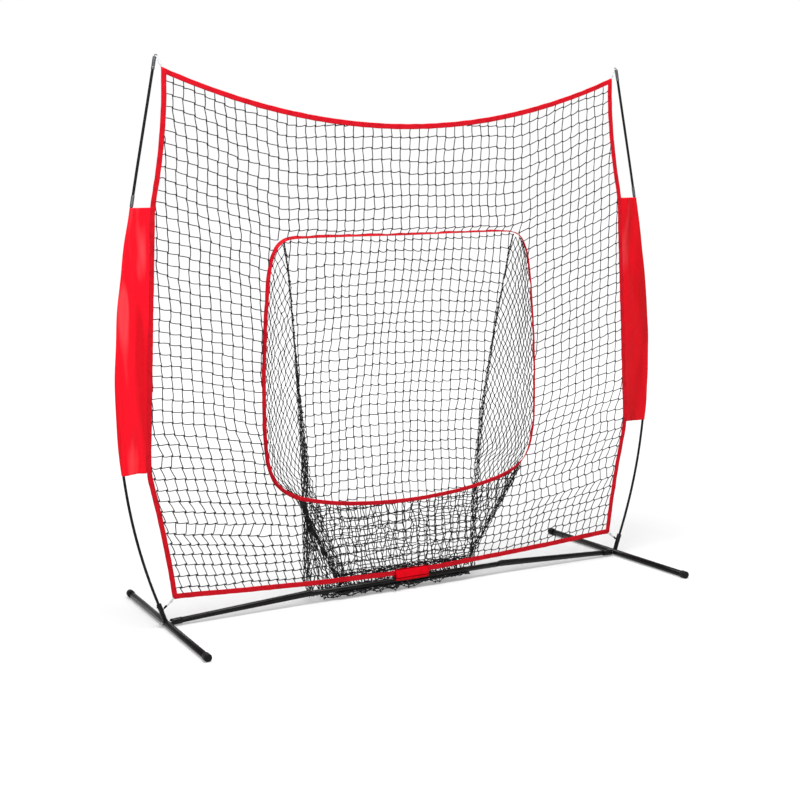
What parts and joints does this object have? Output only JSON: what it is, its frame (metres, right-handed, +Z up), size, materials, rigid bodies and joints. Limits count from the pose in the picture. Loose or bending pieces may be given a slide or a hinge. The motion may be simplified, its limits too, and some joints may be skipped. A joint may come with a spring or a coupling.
{
  "type": "pitching target net",
  "caption": "Free-standing square practice net on curved fibreglass side poles and a steel foot frame, with a bound target opening and a ball pocket hanging behind it.",
  "frame": {"origin": "on the ground, midway between the two feet", "axes": "+Z up, +X to the right seen from the front, +Y towards the back, where the pocket hangs"},
  "size_m": [2.4734, 0.9564, 2.1488],
  "materials": {
    "black_steel": "satin black powder coat on steel tube",
    "black_plastic": "moulded matt black",
    "fibreglass": "black pultruded fibreglass, satin",
    "grey_metal": "dull grey, drawn",
    "zinc_steel": "zinc plated",
    "red_nylon": "satin woven nylon with soft wrinkles",
    "red_webbing": "folded nylon tape, stitched",
    "black_netting": "knotted square mesh twine",
    "white_elastic": "white elastic cord"
  },
  "bodies": {
    "base_frame": {"crossbar_centre_tube": "black_steel", "crossbar_left_tube": "black_steel", "crossbar_right_tube": "black_steel", "centre_strap": "red_webbing", "left_stub_sleeve": "black_steel", "left_stub_plug": "black_steel", "left_foot_bolt": "zinc_steel", "left_foot_nut": "zinc_steel", "left_foot_tube": "black_steel", "left_front_foot_cap": "black_plastic", "left_rear_foot_cap": "black_plastic", "left_pole_socket": "black_steel", "left_socket_rivet": "black_steel", "left_cord_hook": "black_plastic", "left_button_spring": "zinc_steel", "right_stub_sleeve": "black_steel", "right_stub_plug": "black_steel", "right_foot_bolt": "zinc_steel", "right_foot_nut": "zinc_steel", "right_foot_tube": "black_steel", "right_front_foot_cap": "black_plastic", "right_rear_foot_cap": "black_plastic", "right_pole_socket": "black_steel", "right_socket_rivet": "black_steel", "right_cord_hook": "black_plastic", "right_button_spring": "zinc_steel"},
    "bow_and_net": {"main_net": "black_netting", "top_tape": "red_webbing", "bottom_tape": "red_webbing", "opening_binding": "red_webbing", "left_pole_lower": "fibreglass", "left_pole_middle": "fibreglass", "left_pole_upper": "fibreglass", "left_lower_ferrule": "grey_metal", "left_upper_ferrule": "grey_metal", "left_pole_tip": "grey_metal", "left_tip_hook": "black_plastic", "left_side_tape": "red_webbing", "left_pole_sleeve": "red_nylon", "left_top_cord": "white_elastic", "left_bottom_cord": "white_elastic", "right_pole_lower": "fibreglass", "right_pole_middle": "fibreglass", "right_pole_upper": "fibreglass", "right_lower_ferrule": "grey_metal", "right_upper_ferrule": "grey_metal", "right_pole_tip": "grey_metal", "right_tip_hook": "black_plastic", "right_side_tape": "red_webbing", "right_pole_sleeve": "red_nylon", "right_top_cord": "white_elastic", "right_bottom_cord": "white_elastic"},
    "pocket": {"ball_pocket": "black_netting"},
    "left_button": {"left_snap_button": "zinc_steel"},
    "right_button": {"right_snap_button": "zinc_steel"},
    "flap": {"strap_flap": "red_webbing"}
  },
  "joints": [
    {"name": "bow_rock", "type": "hinge", "parent": "base_frame", "child": "bow_and_net", "pos_m": [0, 0, 0.0712], "axis": [1, 0, 0], "range_deg": [-4, 4], "stiffness_Nm_per_rad": 150},
    {"name": "pocket_swing", "type": "hinge", "parent": "bow_and_net", "child": "pocket", "pos_m": [0, 0, 1.468], "axis": [1, 0, 0], "range_deg": [0, 12]},
    {"name": "left_button_press", "type": "slide", "parent": "base_frame", "child": "left_button", "axis": [0, 0, 1], "range_m": [0, 0.0035], "stiffness_N_per_m": 400, "springref_m": -0.001},
    {"name": "right_button_press", "type": "slide", "parent": "base_frame", "child": "right_button", "axis": [0, 0, 1], "range_m": [0, 0.0035], "stiffness_N_per_m": 400, "springref_m": -0.001},
    {"name": "flap_peel", "type": "hinge", "parent": "base_frame", "child": "flap", "pos_m": [0.015, -0.0128, 0.053], "axis": [1, 0, 0], "range_deg": [0, 120]}
  ]
}
